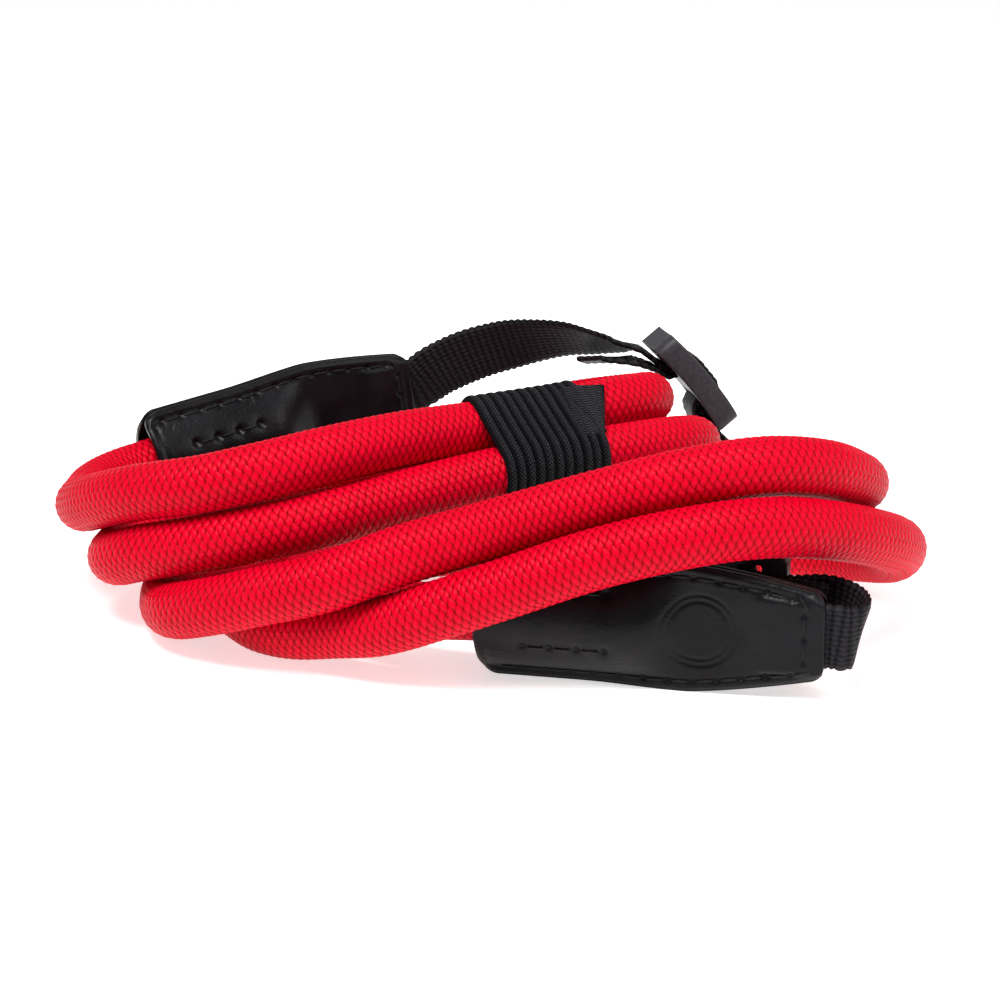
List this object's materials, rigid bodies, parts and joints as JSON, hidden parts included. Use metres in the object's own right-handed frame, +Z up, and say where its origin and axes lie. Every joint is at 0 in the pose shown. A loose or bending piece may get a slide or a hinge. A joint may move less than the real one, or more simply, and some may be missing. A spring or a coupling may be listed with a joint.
{
  "type": "camera strap",
  "caption": "Braided rope camera strap lying in a flat coil, with leather end tabs, webbing lug straps, triglide buckles and a cord whipping.",
  "frame": {"origin": "middle of the coil's bounding box, on the surface it lies on", "axes": "+Z up, +X to the picture's right along the coil's long way, -Y towards the viewer"},
  "size_m": [0.1554, 0.1119, 0.0409],
  "materials": {
    "rope": "braided cord, bright red",
    "leather": "smooth black, slight sheen",
    "cord": "black cord",
    "webbing": "ribbed black webbing",
    "plastic": "satin black"
  },
  "bodies": {
    "root": {"rope": "rope", "front_tab_outer": "leather", "front_tab_inner": "leather", "back_tab_outer": "leather", "back_tab_inner": "leather", "whipping": "cord", "front_webbing": "webbing", "back_webbing": "webbing", "front_buckle": "plastic", "back_buckle": "plastic"}
  },
  "joints": []
}
